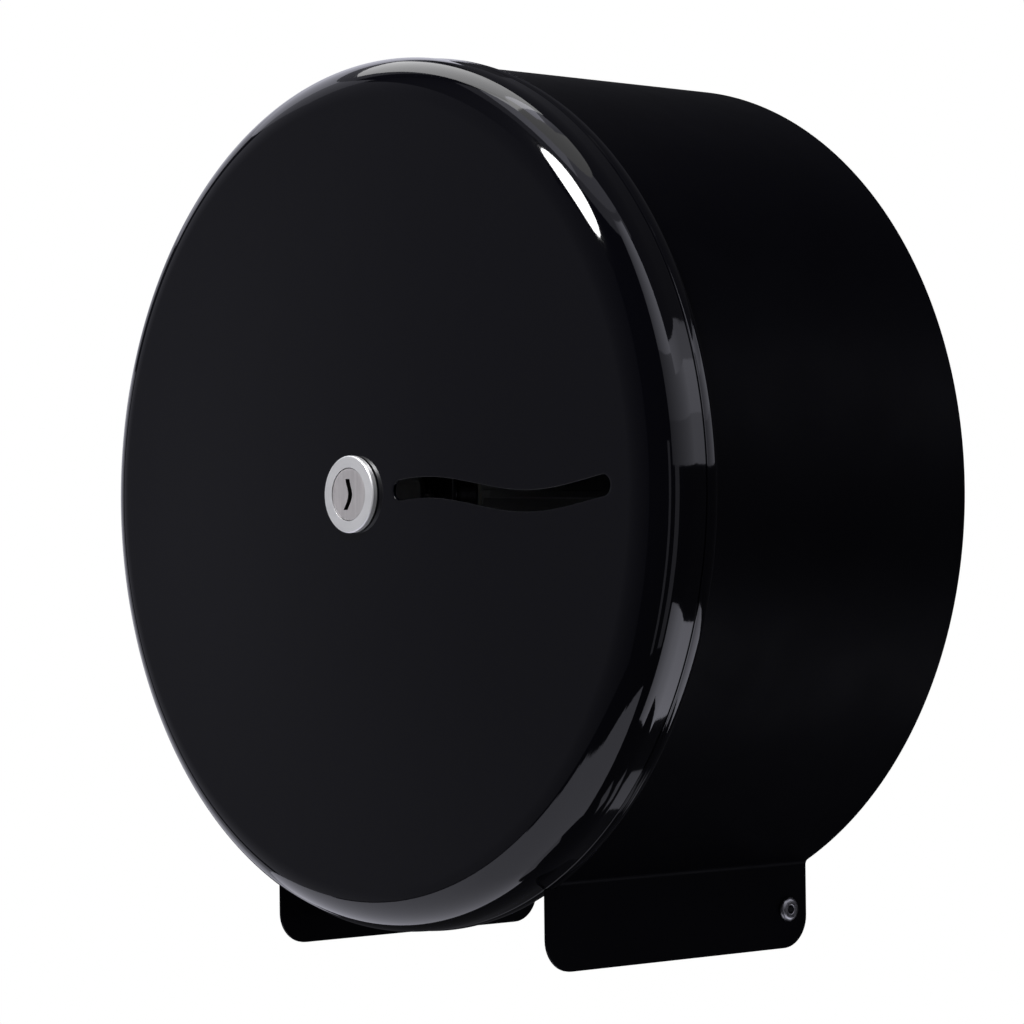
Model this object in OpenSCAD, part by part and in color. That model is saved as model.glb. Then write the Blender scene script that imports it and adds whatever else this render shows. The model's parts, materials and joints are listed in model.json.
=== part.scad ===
// Jumbo toilet roll dispenser: a wall plate with a spindle and a free-turning roll hub, and a
// round sheet-metal casing that tips forward on two rivets and locks onto the spindle's nose.
//
// Every piece is drawn lying on its back: X to the right, Y up the wall and Z out of the wall.
// hang() then stands it up, so the wall is the plane Y = 0 and the front faces -Y.
// "Out" means the distance from the wall. The drum's axis passes through the origin.

/* [Casing] */
// Outer diameter of the front cover
case_d = 270; // [240:1:320]
// Depth of the casing, from its rear edge to the cover's face
case_depth = 128.5; // [118:0.5:150]
// Gap between the casing's rear edge and the wall
wall_gap = 3; // [2:0.5:5]
// Sheet thickness of the front cover
cover_t = 1; // [0.8:0.1:1.5]
// Depth of the front cover's rim
cover_depth = 22; // [18:0.5:26]
// Radius of the cover's rolled front edge
edge_r = 13.5; // [8:0.5:14]
// Width of the bead along the rim's rear edge
hem_w = 3.6; // [2.5:0.1:5]
// How far the bead bulges past the rim
hem_bulge = 0.3; // [0.1:0.1:0.8]
// Depth of the groove in front of the bead
groove_depth = 0.35; // [0.2:0.05:0.6]
// Radial gap between the cover's rim and the drum band
drum_fit = 0.2; // [0.1:0.1:0.4]
// Sheet thickness of the drum band
band_t = 1; // [0.8:0.1:1.5]
// Gap between the band's front edge and the start of the cover's rolled edge
band_setback = 1; // [0.5:0.5:3]

/* [Viewing slot] */
// Distance from the lock's axis to the slot's near end
slot_start = 19; // [17:0.5:24]
// Flat left between the slot's far end and the cover's rolled edge
slot_margin = 7.5; // [4:0.5:30]
// Width of the slot
slot_w = 6.3; // [5:0.1:9]
// Height of the slot's wave, crest to trough
wave_h = 5.1; // [2:0.1:8]
// Length of one full wave
wave_len = 94; // [70:1:120]
// Distance from the lock's axis to the wave's crest
crest_x = 33; // [28:0.5:40]
// How far the middle of the wave lies below the lock's axis
wave_drop = 1.2; // [0:0.1:4]

/* [Cheeks] */
// Distance between the outer faces of the two cheeks
cheek_span = 129.4; // [110:0.2:150]
// How far the cheeks reach below the front cover
cheek_below = 9; // [6:0.5:30]
// Distance from the cover's face back to a cheek's front edge
cheek_setback = 17.8; // [14:0.1:30]
// Radius of a cheek's lower corners
cheek_corner_r = 10; // [5:0.5:12]
// Outside radius of the bend from drum to cheek
bend_r = 2; // [1:0.5:4]
// Gap left round the cover's rim where a cheek passes it
rim_relief = 0.5; // [0.3:0.1:1]

/* [Cover mounting tabs] */
// Number of tabs round the drum band
tab_count = 5; // [3:1:5]
// Angle between neighbouring tabs
tab_step = 65; // [40:1:65]
// Width of a tab
tab_w = 16; // [12:1:20]
// Distance from the cover's rolled edge in to the studs
stud_inset = 6.5; // [5:0.5:12]
// Tab left inside each stud
tab_margin = 7; // [6:0.5:9]
// Diameter of a stud's shoulder
stud_shoulder_d = 7; // [6:0.5:8]
// Diameter of a stud's thread
stud_d = 4; // [3:0.5:5]
// Length of a stud's thread past the tab's front face
stud_len = 7; // [5.5:0.5:9]
// Clearance of a stud in its hole, on the diameter
stud_hole_play = 0.5; // [0.3:0.1:1]

/* [Pivots] */
// Distance from the casing's rear edge to the pivot
pivot_in = 8.4; // [7:0.1:12]
// Height of the pivot above the cheeks' lower edge
pivot_up = 12.2; // [9:0.1:16]
// Diameter of a pivot rivet's shank
pivot_d = 4.8; // [4:0.2:6]
// Diameter of a pivot rivet's domed head
pivot_head_d = 7.8; // [7:0.1:10]
// Height of a pivot rivet's domed head
pivot_head_h = 1.8; // [1.2:0.1:2.5]
// Diameter of the hole through a pivot rivet
pivot_bore_d = 2.6; // [2:0.1:3]
// Diameter of a pivot rivet's set inner end
pivot_collar_d = 7; // [6.4:0.1:9]
// Height of a pivot rivet's set inner end
pivot_collar_h = 2.2; // [1.5:0.1:3]
// Radial clearance of the cheek on its rivet
pivot_play = 0.05; // [0.02:0.01:0.1]
// Thickness of the nylon washer between ear and cheek
pivot_washer_t = 0.8; // [0.5:0.1:1.5]
// Diameter of the nylon washer
pivot_washer_d = 10; // [8:0.5:12]

/* [Back plate] */
// Radial gap between the back plate and the drum band
plate_gap = 4.8; // [3:0.1:20]
// Thickness of the back plate
plate_t = 1.5; // [1:0.1:2]
// Height of the back plate's rim above the wall
plate_rim_h = 8; // [5:0.5:10]
// Radius of the back plate's pressed rim
plate_rim_r = 2.5; // [2:0.1:4]
// Radius of the inner stiffening bead
bead_in_r = 58; // [46:1:66]
// Distance from the back plate's edge in to the outer stiffening bead
bead_inset = 16; // [14:0.5:20]
// Width of a stiffening bead
bead_w = 11; // [8:0.5:14]
// Height of a stiffening bead
bead_h = 2; // [1:0.1:3]
// Distance between wall screws, across
screw_x = 150; // [120:1:160]
// Distance between wall screws, up and down
screw_y = 110; // [90:1:120]
// Width of a wall screw slot
screw_slot_w = 5.5; // [4.5:0.1:6.5]
// Length of a wall screw slot
screw_slot_len = 12; // [8:0.5:14]
// How far a leg reaches below the pivots
leg_below = 1.2; // [0:0.1:4]
// Width of a leg at its lower end
leg_w = 9; // [6:0.5:14]
// Radius of an ear's rounded end
ear_r = 6.8; // [6:0.1:9]
// Length of an ear along the wall
ear_root = 19; // [14:0.5:22]

/* [Spindle] */
// Diameter of the spindle's foot
foot_d = 56; // [52:1:70]
// Thickness of the spindle's foot
foot_t = 2.5; // [2:0.1:4]
// Diameter of the circle that the foot's rivets lie on
foot_pcd = 43; // [42:1:46]
// Diameter of a foot rivet's shank
foot_rivet_d = 4; // [3:0.5:5]
// Outer diameter of the spindle tube
spindle_d = 22; // [18:0.5:25]
// Wall thickness of the spindle tube
spindle_wall = 1.5; // [1.2:0.1:2.5]
// Gap between the keeper on the spindle's nose and the lock's cam screw
nose_gap = 5.7; // [4:0.1:8]
// Length of the threaded plug in the spindle's nose
plug_len = 14; // [12:1:20]

/* [Roll hub] */
// Diameter of the hub over its ribs
hub_d = 42; // [38:0.5:45]
// Outer diameter of the hub's core tube
hub_core_d = 30; // [28.5:0.5:32]
// Diameter of the hub's rear flange
hub_flange_d = 66; // [60:1:80]
// Thickness of the hub's rear flange
hub_flange_t = 2.5; // [2:0.1:4]
// Number of ribs
hub_ribs = 6; // [4:1:10]
// Thickness of a rib
hub_rib_t = 2.4; // [1.8:0.1:4]
// Length of the ribs' tapered noses
hub_nose = 11; // [6:1:20]
// Wall thickness of a bush
bush_wall = 1.95; // [1.5:0.05:2.5]
// Length of a bush in the hub
bush_len = 10; // [6:1:20]
// Thickness of a bush's flange
bush_flange_t = 1.2; // [1:0.1:2]
// Radial clearance of the bushes on the spindle
bush_play = 0.05; // [0.02:0.01:0.1]
// Thickness of the thrust washer behind the hub
thrust_t = 2.2; // [2:0.1:3]
// Diameter of the thrust washer
thrust_d = 32; // [30:0.5:34]
// End play of the hub at each end
hub_play = 0.3; // [0.2:0.1:0.5]
// Thickness of the retaining ring
ring_t = 1.2; // [1:0.1:1.5]
// Outer diameter of the retaining ring
ring_d = 29; // [26:0.5:32]
// Depth of the groove that the retaining ring sits in
ring_groove = 0.7; // [0.5:0.1:0.9]

/* [Lock] */
// Diameter of the lock's bezel
bezel_d = 23; // [22:0.5:26]
// Thickness of the lock's bezel
bezel_t = 3.2; // [2:0.1:4]
// Width of the chamfer round the bezel's face
bezel_chamfer = 0.9; // [0.4:0.1:1.5]
// Diameter of the lock's threaded barrel
barrel_d = 19; // [18.6:0.1:20]
// Distance across the barrel's flats
barrel_flats = 16.8; // [16.6:0.1:17.6]
// Length of the barrel behind the bezel
barrel_len = 18.5; // [17:0.5:19]
// Diameter of the turning plug
plug_d = 15.7; // [14:0.1:16]
// How far the plug's face lies behind the bezel's face
plug_recess = 0.3; // [0.1:0.1:0.6]
// Radial clearance of the plug in the barrel
plug_play = 0.05; // [0.02:0.01:0.1]
// Height of the keyway
key_h = 9.6; // [8:0.1:11]
// Width of the keyway
key_w = 1.7; // [1.2:0.1:2.2]
// How far the keyway's wave swings to each side
key_wave = 1.1; // [0.5:0.1:1.6]
// Depth of the keyway
key_depth = 14; // [8:1:16]
// Thickness of the gasket under the bezel
gasket_t = 0.8; // [0.5:0.1:1.5]
// Diameter of the gasket
gasket_d = 24.6; // [23.5:0.1:27]
// Thickness of the toothed washer
tooth_washer_t = 0.6; // [0.4:0.1:1]
// Thickness of the lock nut
lock_nut_t = 4; // [3:0.1:5]
// Distance across the lock nut's flats
lock_nut_flats = 24; // [22:0.5:27]
// Thickness of the cam
cam_t = 2; // [1.5:0.1:3]
// Reach of the cam from the lock's axis
cam_reach = 20; // [17:0.5:21]
// Width of the cam
cam_w = 11; // [9:0.5:13]
// Gap between the barrel's rear end and the cam
cam_gap = 0.4; // [0.3:0.1:0.8]
// Width across the square tang that drives the cam
tang_w = 7; // [6:0.1:8]
// Thickness of the washer behind the cam
cam_washer_t = 0.8; // [0.5:0.1:1.2]
// Diameter of the cam screw's thread
cam_screw_d = 4; // [3:0.5:5]

/* [Keeper] */
// Thickness of the keeper's strip
keeper_t = 1.5; // [1.2:0.1:2]
// Width of the keeper
keeper_w = 22; // [18:0.5:26]
// Distance from the spindle's axis to the top of the keeper
keeper_top = 24; // [22.5:0.5:28]
// Distance from the spindle's axis to the lower edge of the keeper's lip
lip_low = 12; // [11:0.5:14]
// Gap between the cam and the keeper's lip
lip_gap = 0.8; // [0.5:0.1:1.5]
// Outside radius of the keeper's bends
keeper_bend_r = 2.5; // [2:0.1:3]
// Diameter of the keeper screw
keeper_screw_d = 5; // [4:0.5:6]

/* [Hidden] */
$fn = 96;
small_fn = 48;
cut = 1;         // how far a cutting shape runs past what it cuts
seat = 0.02;     // clearance of pieces of one body that are fitted together
far = 400;       // past the whole object

case_r = case_d / 2;
face_out = wall_gap + case_depth;
rim_out = face_out - cover_depth;
roll_start = face_out - edge_r;
flat_r = case_r - edge_r;
slot_len = flat_r - slot_margin - slot_start;
inner_edge_r = edge_r - cover_t;
cover_in_r = case_r - cover_t;
band_r = cover_in_r - drum_fit;
band_in_r = band_r - band_t;
band_front = roll_start - band_setback;
face_in = face_out - cover_t;

cheek_x = cheek_span / 2;
cheek_front = face_out - cheek_setback;
cheek_depth = cheek_front - wall_gap;
bend_x = cheek_x + bend_r;
bend_y = -sqrt(pow(band_r + bend_r, 2) - pow(bend_x, 2));
neck_front = rim_out - rim_relief;
neck_high = bend_y * band_in_r / (band_r + bend_r) + rim_relief;
neck_low = -sqrt(pow(case_r + hem_bulge, 2) - pow(cheek_x - band_t, 2)) - rim_relief;

stud_ring_r = flat_r - stud_inset;
tab_in_r = stud_ring_r - tab_margin;
tab_back = band_front - band_t;

cheek_drop = case_r + cheek_below;
pivot_out = wall_gap + pivot_in;
pivot_y = pivot_up - cheek_drop;
pivot_r = pivot_d / 2;
washer_gap = 0.2;
ear_x = cheek_x - band_t - washer_gap - pivot_washer_t;

plate_r = band_in_r - plate_gap;
bead_out_r = plate_r - bead_inset;
leg_drop = leg_below - pivot_y;
leg_low_x = ear_x - leg_w;
leg_slope = 11;
leg_x = leg_low_x - leg_slope;
leg_join_r = (bead_out_r + bead_w / 2 + plate_r - plate_rim_r) / 2;

gasket_out = face_out + gasket_t;
bezel_face = gasket_out + bezel_t;
barrel_end = gasket_out - barrel_len;
cam_front = barrel_end - cam_gap;
cam_back = cam_front - cam_t;
plug_r = plug_d / 2;
barrel_play = 0.1;
tang_play = 0.05;
cam_screw_head_h = 2.4;
cam_screw_head_r = cam_screw_d;
cam_screw_back = cam_back - cam_washer_t - cam_screw_head_h;

keeper_face = cam_screw_back - nose_gap;
lip_back = cam_front + lip_gap;
lip_front = lip_back + keeper_t;
keeper_screw_head_r = keeper_screw_d * 0.95;

foot_out = plate_t + foot_t;
spindle_out = keeper_face - keeper_t;
spindle_r = spindle_d / 2;
spindle_in_r = spindle_r - spindle_wall;
thrust_out = foot_out + thrust_t;
hub_start = thrust_out + hub_play;
sleeve_start = hub_start + bush_flange_t;
ring_start = spindle_out - 6;
sleeve_end = ring_start - hub_play - bush_flange_t;
bush_in_r = spindle_r + bush_play;
bush_r = bush_in_r + bush_wall;
bush_flange_r = hub_core_d / 2 - 0.4;

ink = [0.05, 0.05, 0.06];
satin_black = [0.09, 0.09, 0.1];
zinc = [0.72, 0.73, 0.75];
chrome = [0.85, 0.85, 0.87];
nylon = [0.9, 0.9, 0.87];
grey_plastic = [0.62, 0.63, 0.64];
rubber_black = [0.03, 0.03, 0.03];

// Stands a lying piece up against the wall
module hang() {
    rotate([90, 0, 0]) children();
}

// A flat ring or washer that starts at a distance from the wall
module ring(start, t, r, hole_r) {
    translate([0, 0, start]) difference() {
        cylinder(r = r, h = t);
        translate([0, 0, -cut]) cylinder(r = hole_r, h = t + 2 * cut);
    }
}

// A low dome standing on the plane Z = 0
module dome(r, h) {
    ball_r = (r * r + h * h) / (2 * h);
    rotate_extrude() intersection() {
        translate([0, h - ball_r]) circle(r = ball_r);
        square([r, h]);
    }
}

// A hexagon nut with chamfered corners on both sides
module hex_nut(start, t, flats, hole_r) {
    corner_r = flats / 2 / cos(30);
    chamfer = corner_r - flats / 2;
    translate([0, 0, start]) intersection() {
        difference() {
            cylinder(r = corner_r, h = t, $fn = 6);
            translate([0, 0, -cut]) cylinder(r = hole_r, h = t + 2 * cut, $fn = small_fn);
        }
        rotate_extrude() polygon([
            [0, 0], [flats / 2, 0], [corner_r, chamfer * 0.6],
            [corner_r, t - chamfer * 0.6], [flats / 2, t], [0, t]
        ]);
    }
}

// Puts its child at each stud of the cover, spread evenly from the top
module at_studs() {
    for (i = [0 : tab_count - 1])
        rotate([0, 0, (i - (tab_count - 1) / 2) * tab_step])
            translate([0, stud_ring_r, 0]) children();
}

// Puts its child at each rivet of the spindle's foot
module at_foot_rivets() {
    for (i = [0 : 3])
        rotate([0, 0, 45 + 90 * i]) translate([foot_pcd / 2, 0, 0]) children();
}

// Lays a side view, drawn as [distance from the wall, height], into the plane X = x
module side_view(x, t) {
    translate([x, 0, 0]) rotate([0, -90, 0]) mirror([0, 0, 1]) linear_extrude(t) children();
}

// The point where the line from p touches the circle of radius r round c
function touch(p, c, r, side) =
    let (d = norm(p - c), a = acos(r / d), v = (p - c) / d)
    c + r * [v[0] * cos(a) - side * v[1] * sin(a), side * v[0] * sin(a) + v[1] * cos(a)];

// ---- Wall unit ----

// Section of a pressed sheet disc with two stiffening beads and a turned rim
module plate_section() {
    lean = bead_h;
    difference() {
        union() {
            square([plate_r - plate_rim_r, plate_t]);
            translate([plate_r - plate_t, plate_rim_r]) square([plate_t, plate_rim_h - plate_rim_r]);
            intersection() {
                translate([plate_r - plate_rim_r, plate_rim_r]) difference() {
                    circle(r = plate_rim_r);
                    circle(r = plate_rim_r - plate_t);
                }
                translate([plate_r - plate_rim_r, 0]) square(plate_rim_r);
            }
            for (r = [bead_in_r, bead_out_r])
                bead_section(r, bead_w / 2 + plate_t * 0.4, plate_t, lean);
        }
        for (r = [bead_in_r, bead_out_r])
            bead_section(r, bead_w / 2, 0, lean);
    }
}

// The sloped bump of a stiffening bead, above the level base
module bead_section(r, half, base, lean) {
    top = base + bead_h;
    polygon([
        [r - half, base - cut], [r - half, base], [r - half + lean, top],
        [r + half - lean, top], [r + half, base], [r + half, base - cut]
    ]);
}

// An ear seen from the side, with its foot on the wall and its end round the pivot
module ear_side() {
    c = [pivot_out, pivot_y];
    low = [0, -leg_drop];
    high = [0, ear_root - leg_drop];
    polygon([low, touch(low, c, ear_r, 1), c, touch(high, c, ear_r, -1), high]);
    translate(c) circle(r = ear_r);
}

// Height at x of the circle where the legs leave the plate
function join_y(x) = -sqrt(leg_join_r * leg_join_r - x * x);

// One leg of the plate with its ear bent forward
module leg_and_ear() {
    difference() {
        union() {
            linear_extrude(plate_t) polygon([
                [ear_x, -leg_drop], [leg_low_x, -leg_drop], [leg_x, leg_slope - leg_drop],
                [leg_x, join_y(leg_x)], [ear_x, join_y(ear_x)]
            ]);
            side_view(ear_x - plate_t, plate_t) ear_side();
        }
        translate([ear_x - plate_t - cut, pivot_y, pivot_out]) rotate([0, 90, 0])
            cylinder(r = pivot_r + seat, h = plate_t + 2 * cut, $fn = small_fn);
    }
}

// The part of the pressed rim that is cut away where a leg leaves the plate
module leg_gap() {
    side_room = 3;
    translate([0, 0, plate_t]) linear_extrude(plate_rim_h) difference() {
        translate([leg_x, -far]) square([ear_x + side_room - leg_x, far]);
        circle(r = leg_join_r);
    }
}

module back_plate() {
    color(satin_black) hang() difference() {
        union() {
            difference() {
                rotate_extrude() plate_section();
                for (side = [0, 1]) mirror([side, 0, 0]) leg_gap();
            }
            for (side = [0, 1]) mirror([side, 0, 0]) leg_and_ear();
        }
        for (x = [-1, 1], y = [-1, 1])
            translate([x * screw_x / 2, y * screw_y / 2, -cut]) linear_extrude(bead_h + plate_t + 2 * cut)
                slot_shape(screw_slot_len, screw_slot_w);
        at_foot_rivets() foot_rivet_hole();
    }
}

// A straight slot with round ends, along X
module slot_shape(len, w) {
    square([len - w, w], center = true);
    for (side = [-1, 1]) translate([side * (len - w) / 2, 0]) circle(d = w, $fn = small_fn);
}

// The countersunk hole of a foot rivet
module foot_rivet_hole() {
    translate([0, 0, -cut]) cylinder(d = foot_rivet_d + 2 * seat, h = foot_out + 2 * cut, $fn = small_fn);
    foot_rivet_sink(seat);
}

// The flush head of a foot rivet, with some clearance round it
module foot_rivet_sink(play) {
    depth = plate_t * 0.7;
    cylinder(r1 = foot_rivet_d / 2 + depth + play, r2 = foot_rivet_d / 2 + play, h = depth, $fn = small_fn);
}

module spindle_foot() {
    color(zinc) hang() difference() {
        ring(plate_t, foot_t, foot_d / 2, spindle_in_r);
        at_foot_rivets() foot_rivet_hole();
    }
}

module foot_rivets() {
    head_h = foot_t * 0.6;
    color(zinc) hang() at_foot_rivets() {
        cylinder(d = foot_rivet_d, h = foot_out, $fn = small_fn);
        foot_rivet_sink(0);
        translate([0, 0, foot_out]) dome(foot_rivet_d * 0.85, head_h);
    }
}

module spindle_tube() {
    color(chrome) hang() difference() {
        ring(foot_out, spindle_out - foot_out, spindle_r, spindle_in_r);
        ring(ring_start, ring_t + 2 * seat, spindle_r + cut, spindle_r - ring_groove);
    }
}

module nose_plug() {
    color(zinc) hang() difference() {
        translate([0, 0, spindle_out - plug_len]) cylinder(r = spindle_in_r - seat, h = plug_len);
        keeper_screw_shape(seat);
    }
}

module thrust_washer() {
    color(nylon) hang() ring(foot_out, thrust_t, thrust_d / 2, spindle_r + seat);
}

// A spring ring, open at the bottom, with a lifting hole near each end
module retaining_ring() {
    gap = spindle_r;
    color(zinc) hang() difference() {
        ring(ring_start + seat, ring_t, ring_d / 2, spindle_r - ring_groove + seat);
        translate([-gap / 2, -ring_d, ring_start - cut]) cube([gap, ring_d, ring_t + 2 * cut]);
        for (side = [-1, 1])
            rotate([0, 0, side * 42]) translate([0, -(ring_d / 2 + spindle_r) / 2, ring_start - cut])
                cylinder(d = 1.6, h = ring_t + 2 * cut, $fn = small_fn);
    }
}

// The keeper from the side, drawn as [distance from the wall, height]
module keeper_side() {
    foot_low = -keeper_w / 2;
    r_in = keeper_bend_r - keeper_t;
    difference() {
        translate([spindle_out, foot_low]) square([lip_front - spindle_out, keeper_top - foot_low]);
        translate([keeper_face, foot_low - cut])
            square([lip_back - keeper_face, keeper_top - keeper_bend_r - foot_low + cut]);
        translate([spindle_out + keeper_bend_r, keeper_top - keeper_bend_r - cut])
            square([lip_front - spindle_out - 2 * keeper_bend_r, keeper_bend_r - keeper_t + cut]);
        translate([keeper_face, foot_low - cut]) square([far, lip_low - foot_low + cut]);
        for (end = [0, 1])
            translate([end ? lip_front - keeper_bend_r : spindle_out + keeper_bend_r, keeper_top - keeper_bend_r]) {
                circle(r = r_in, $fn = small_fn);
                difference() {
                    translate([end ? 0 : -keeper_bend_r - cut, 0]) square(keeper_bend_r + cut);
                    circle(r = keeper_bend_r, $fn = small_fn);
                }
            }
    }
}

module keeper_hook() {
    color(zinc) hang() difference() {
        intersection() {
            side_view(-keeper_w / 2, keeper_w) keeper_side();
            linear_extrude(far) {
                circle(d = keeper_w);
                translate([-keeper_w / 2, 0]) square([keeper_w, keeper_top]);
            }
        }
        keeper_screw_shape(seat);
    }
}

// A countersunk screw, flush with the keeper's face. As a cut it has some clearance round it,
// and it runs past both its ends.
module keeper_screw_shape(play) {
    r = keeper_screw_d / 2;
    over = play > 0 ? cut : 0;
    head_h = keeper_screw_head_r - r;
    low = spindle_out - plug_len - over;
    translate([0, 0, keeper_face - head_h])
        cylinder(r1 = r + play, r2 = keeper_screw_head_r + play + over, h = head_h + over, $fn = small_fn);
    translate([0, 0, low]) cylinder(r = r + play, h = keeper_face - low - head_h / 2, $fn = small_fn);
}

module keeper_screw() {
    recess_w = keeper_screw_d * 0.16;
    color(zinc) hang() difference() {
        keeper_screw_shape(0);
        for (turn = [0, 90])
            rotate([0, 0, turn]) translate([0, 0, keeper_face])
                cube([keeper_screw_d * 0.9, recess_w, keeper_t * 1.4], center = true);
    }
}

// A tubular rivet through one ear and one cheek, on the right-hand side
module pivot_rivet() {
    head_x = cheek_x + washer_gap;
    inner_x = ear_x - plate_t;
    translate([0, pivot_y, pivot_out]) rotate([0, 90, 0]) difference() {
        union() {
            translate([0, 0, inner_x - pivot_collar_h])
                cylinder(r = pivot_collar_d / 2, h = pivot_collar_h, $fn = small_fn);
            translate([0, 0, inner_x]) cylinder(r = pivot_r, h = head_x - inner_x, $fn = small_fn);
            translate([0, 0, head_x]) dome(pivot_head_d / 2, pivot_head_h);
        }
        translate([0, 0, inner_x - pivot_collar_h - cut]) cylinder(r = pivot_bore_d / 2, h = far, $fn = small_fn);
    }
}

module pivot_rivet_right() {
    color(zinc) hang() pivot_rivet();
}

module pivot_rivet_left() {
    color(zinc) hang() mirror([1, 0, 0]) pivot_rivet();
}

module pivot_washers() {
    color(nylon) hang() for (side = [0, 1])
        mirror([side, 0, 0]) translate([0, pivot_y, pivot_out]) rotate([0, 90, 0])
            ring(ear_x, pivot_washer_t, pivot_washer_d / 2, pivot_r + seat);
}

// ---- Roll hub ----

// Outline of the hub without its bore: flange, core tube and the envelope of its ribs
module hub_section(rib_r) {
    nose_r = (hub_core_d / 2 + rib_r) / 2;
    polygon([
        [0, sleeve_start + hub_flange_t], [rib_r, sleeve_start + hub_flange_t],
        [rib_r, sleeve_end - hub_nose], [nose_r, sleeve_end], [0, sleeve_end]
    ]);
}

module hub_sleeve() {
    color(grey_plastic) hang() difference() {
        union() {
            ring(sleeve_start, hub_flange_t, hub_flange_d / 2, bush_r);
            translate([0, 0, sleeve_start]) cylinder(d = hub_core_d, h = sleeve_end - sleeve_start);
            intersection() {
                rotate_extrude() hub_section(hub_d / 2);
                for (i = [0 : hub_ribs - 1])
                    rotate([0, 0, 360 / hub_ribs * i]) translate([0, -hub_rib_t / 2, sleeve_start])
                        cube([hub_d, hub_rib_t, far]);
            }
        }
        translate([0, 0, sleeve_start - cut]) cylinder(r = bush_r + seat, h = far);
    }
}

// A flanged bush, pressed in from one end of the hub; dir is 1 at the wall end
module bush(flange_start, dir) {
    body_start = dir > 0 ? flange_start + bush_flange_t : flange_start - bush_len;
    ring(flange_start, bush_flange_t, bush_flange_r, bush_in_r);
    ring(body_start, bush_len, bush_r, bush_in_r);
}

module rear_bush() {
    color(nylon) hang() bush(hub_start, 1);
}

module front_bush() {
    color(nylon) hang() bush(sleeve_end, -1);
}

// ---- Casing ----

// Section of a shallow dish with a rolled edge, open towards the wall
module dish_section(r, front, edge) {
    square([r - edge, front]);
    square([r, front - edge]);
    translate([r - edge, front - edge]) intersection() {
        circle(r = edge);
        square(edge);
    }
}

// The bead along the rim's rear edge, rounded on the outside only
module hem_section() {
    half = hem_w / 2;
    roll_r = (half * half + hem_bulge * hem_bulge) / (2 * hem_bulge);
    intersection() {
        translate([case_r + hem_bulge - roll_r, rim_out + half]) circle(r = roll_r);
        translate([cover_in_r, rim_out]) square([far, hem_w]);
    }
}

// Middle line of the viewing slot's wave, as a height at x
function wave_y(x) = wave_h / 2 * cos(360 * (x - crest_x) / wave_len) - wave_drop;

// Slope of that line
function wave_slope(x) = -wave_h / 2 * sin(360 * (x - crest_x) / wave_len) * 2 * PI / wave_len;

// A point beside the wave's middle line, off by o across it
function wave_side(x, o) = let (s = wave_slope(x), n = sqrt(1 + s * s)) [x - o * s / n, wave_y(x) + o / n];

// A point on the half circle round one end of the slot, at an angle past its first corner
function slot_cap(x, dir, a) =
    let (t = atan(wave_slope(x)) + (dir > 0 ? 90 : -90) - a, r = slot_w / 2)
    [x + r * cos(t), wave_y(x) + r * sin(t)];

module viewing_slot() {
    r = slot_w / 2;
    first = slot_start + r;
    last = slot_start + slot_len - r;
    steps = 26;
    cap_steps = 12;
    xs = [for (i = [0 : steps]) first + (last - first) * i / steps];
    polygon(concat(
        [for (x = xs) wave_side(x, r)],
        [for (i = [1 : cap_steps - 1]) slot_cap(last, 1, 180 * i / cap_steps)],
        [for (i = [steps : -1 : 0]) wave_side(xs[i], -r)],
        [for (i = [1 : cap_steps - 1]) slot_cap(first, -1, 180 * i / cap_steps)]
    ));
}

// A round shape with two flats, as the lock's barrel and its hole have
module two_flats(r, flats) {
    intersection() {
        circle(r = r);
        square([flats, far], center = true);
    }
}

// The groove in front of the bead
module groove_section() {
    back = rim_out + hem_w + groove_depth / 2;
    bottom_r = case_r - groove_depth;
    polygon([
        [case_r + cut, back - cut * 0.4], [bottom_r, back + groove_depth * 0.6],
        [bottom_r, back + groove_depth * 1.6], [case_r + cut, back + groove_depth * 2.2 + cut * 0.4]
    ]);
}

module front_cover() {
    color(ink) hang() difference() {
        rotate_extrude() difference() {
            union() {
                translate([0, rim_out]) dish_section(case_r, cover_depth, edge_r);
                hem_section();
            }
            translate([0, rim_out - cut])
                dish_section(cover_in_r, cover_depth - cover_t + cut, inner_edge_r);
            groove_section();
        }
        translate([0, 0, face_in - cut]) linear_extrude(cover_t + 2 * cut) {
            viewing_slot();
            two_flats(barrel_d / 2 + barrel_play, barrel_flats + 2 * barrel_play);
        }
    }
}

// A full disc standing on a block between the cheeks, with a fillet in each corner.
// It is drawn for the sheet's outside, and with inset = the sheet's thickness for its inside.
module casing_outline(inset) {
    r = band_r - inset;
    x = cheek_x - inset;
    overlap = 5;
    touch_share = r / (band_r + bend_r);
    circle(r = r);
    translate([-x, -far]) square([2 * x, far]);
    for (side = [0, 1]) mirror([side, 0, 0]) difference() {
        polygon([
            [bend_x, bend_y], [x - overlap, bend_y],
            [bend_x, bend_y] * (touch_share - overlap / r)
        ]);
        translate([bend_x, bend_y]) circle(r = bend_r + inset, $fn = small_fn);
    }
}

// The band with its two ends bent down, as one bent sheet seen from the front
module bent_sheet() {
    difference() {
        casing_outline(0);
        casing_outline(band_t);
    }
}

// The bent sheet's outline from the side: the drum and a cheek, with a step that clears the rim
module sheet_side() {
    r = cheek_corner_r;
    low = r - cheek_drop;
    translate([wall_gap, low]) square([neck_front - wall_gap, far]);
    translate([wall_gap, neck_high]) square([band_front - wall_gap, far]);
    translate([wall_gap, low]) square([cheek_depth, neck_low - low]);
    translate([wall_gap + r, -cheek_drop]) square([cheek_depth - 2 * r, 2 * r]);
    for (d = [wall_gap + r, cheek_front - r]) translate([d, low]) circle(r = r);
}

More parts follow.
